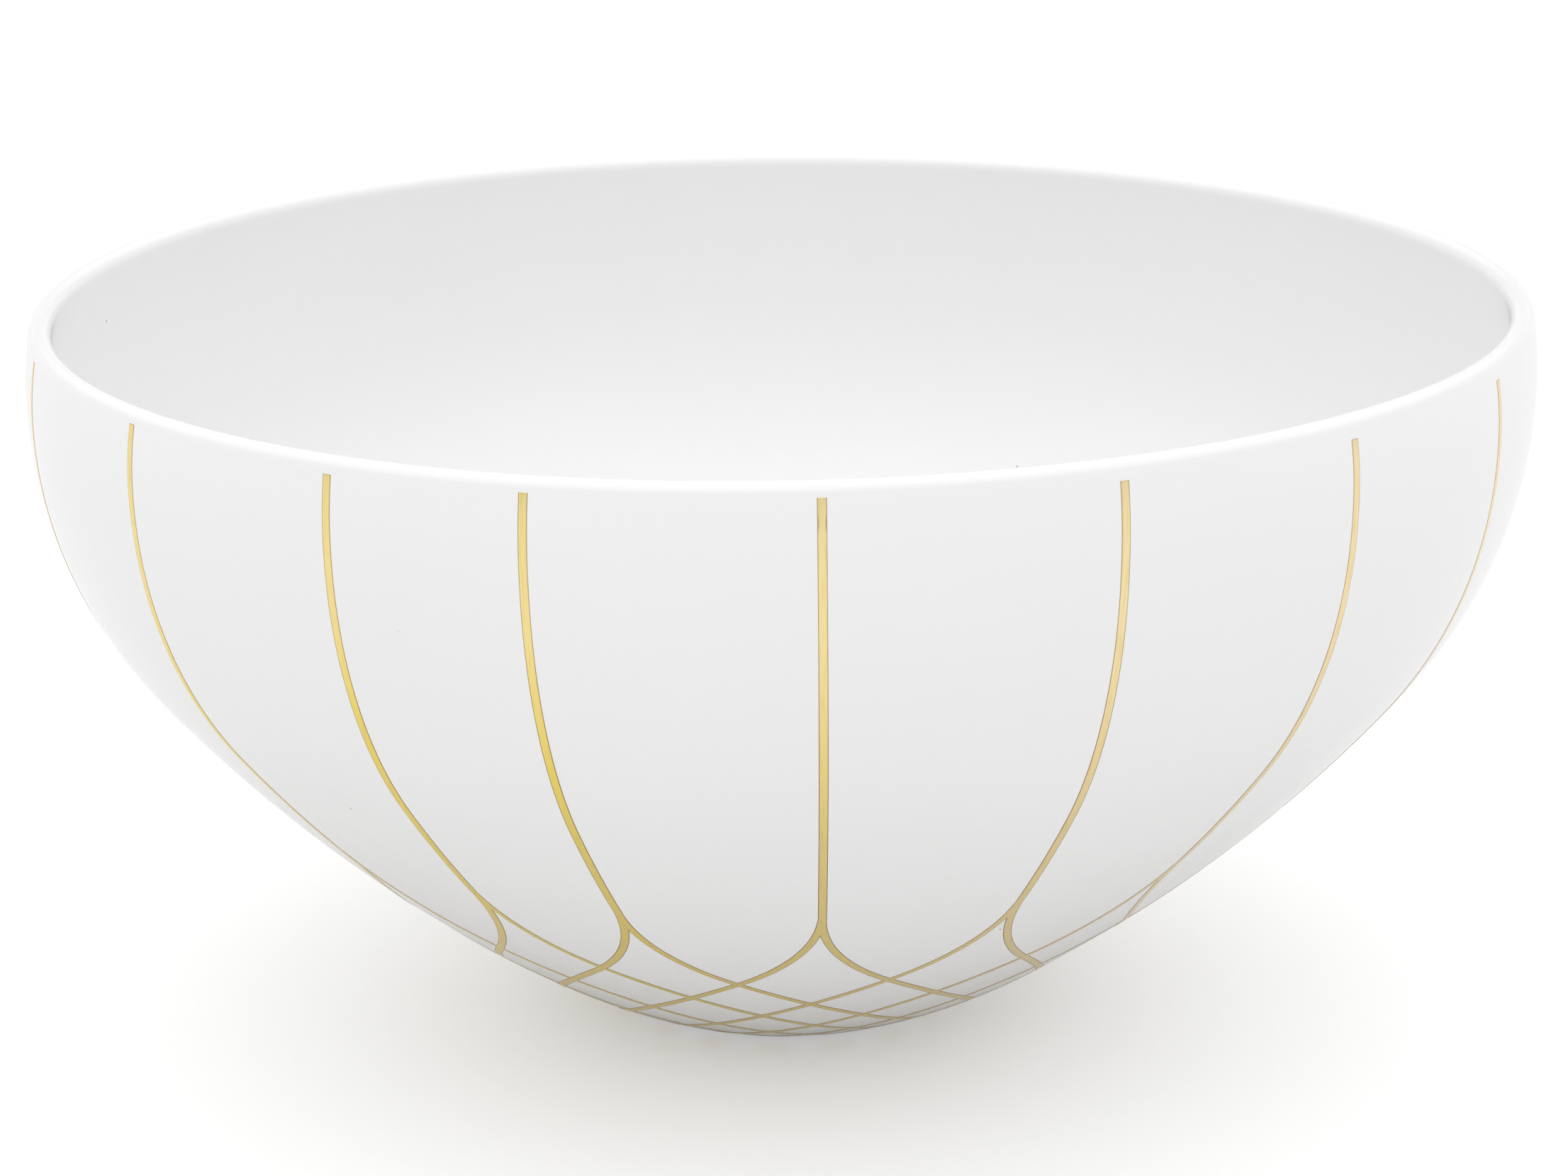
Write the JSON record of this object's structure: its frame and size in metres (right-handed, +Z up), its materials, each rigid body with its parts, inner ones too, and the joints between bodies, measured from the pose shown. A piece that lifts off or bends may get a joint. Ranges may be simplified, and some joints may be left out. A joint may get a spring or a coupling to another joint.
{
  "type": "serving bowl",
  "caption": "Round deep porcelain serving bowl with a half-round lip and small foot ring, gilt lines down the wall forking into a lattice.",
  "frame": {"origin": "centre of the foot ring's ground face, on the surface the bowl stands on", "axes": "+Z up along the bowl's axis of revolution; -Y is the side with the front gold line"},
  "size_m": [0.24, 0.24, 0.1185],
  "materials": {
    "biscuit": "matte",
    "glaze": "gloss",
    "fired_gold": "polished"
  },
  "bodies": {
    "root": {"porcelain_body": "biscuit", "glaze_coat": "glaze", "base_glaze": "glaze", "gold_lattice": "fired_gold", "gold_line_01": "fired_gold", "gold_line_02": "fired_gold", "gold_line_03": "fired_gold", "gold_line_04": "fired_gold", "gold_line_05": "fired_gold", "gold_line_06": "fired_gold", "gold_line_07": "fired_gold", "gold_line_08": "fired_gold", "gold_line_09": "fired_gold", "gold_line_10": "fired_gold", "gold_line_11": "fired_gold", "gold_line_12": "fired_gold", "gold_line_13": "fired_gold", "gold_line_14": "fired_gold", "gold_line_15": "fired_gold", "gold_line_16": "fired_gold", "gold_line_17": "fired_gold", "gold_line_18": "fired_gold"}
  },
  "joints": []
}
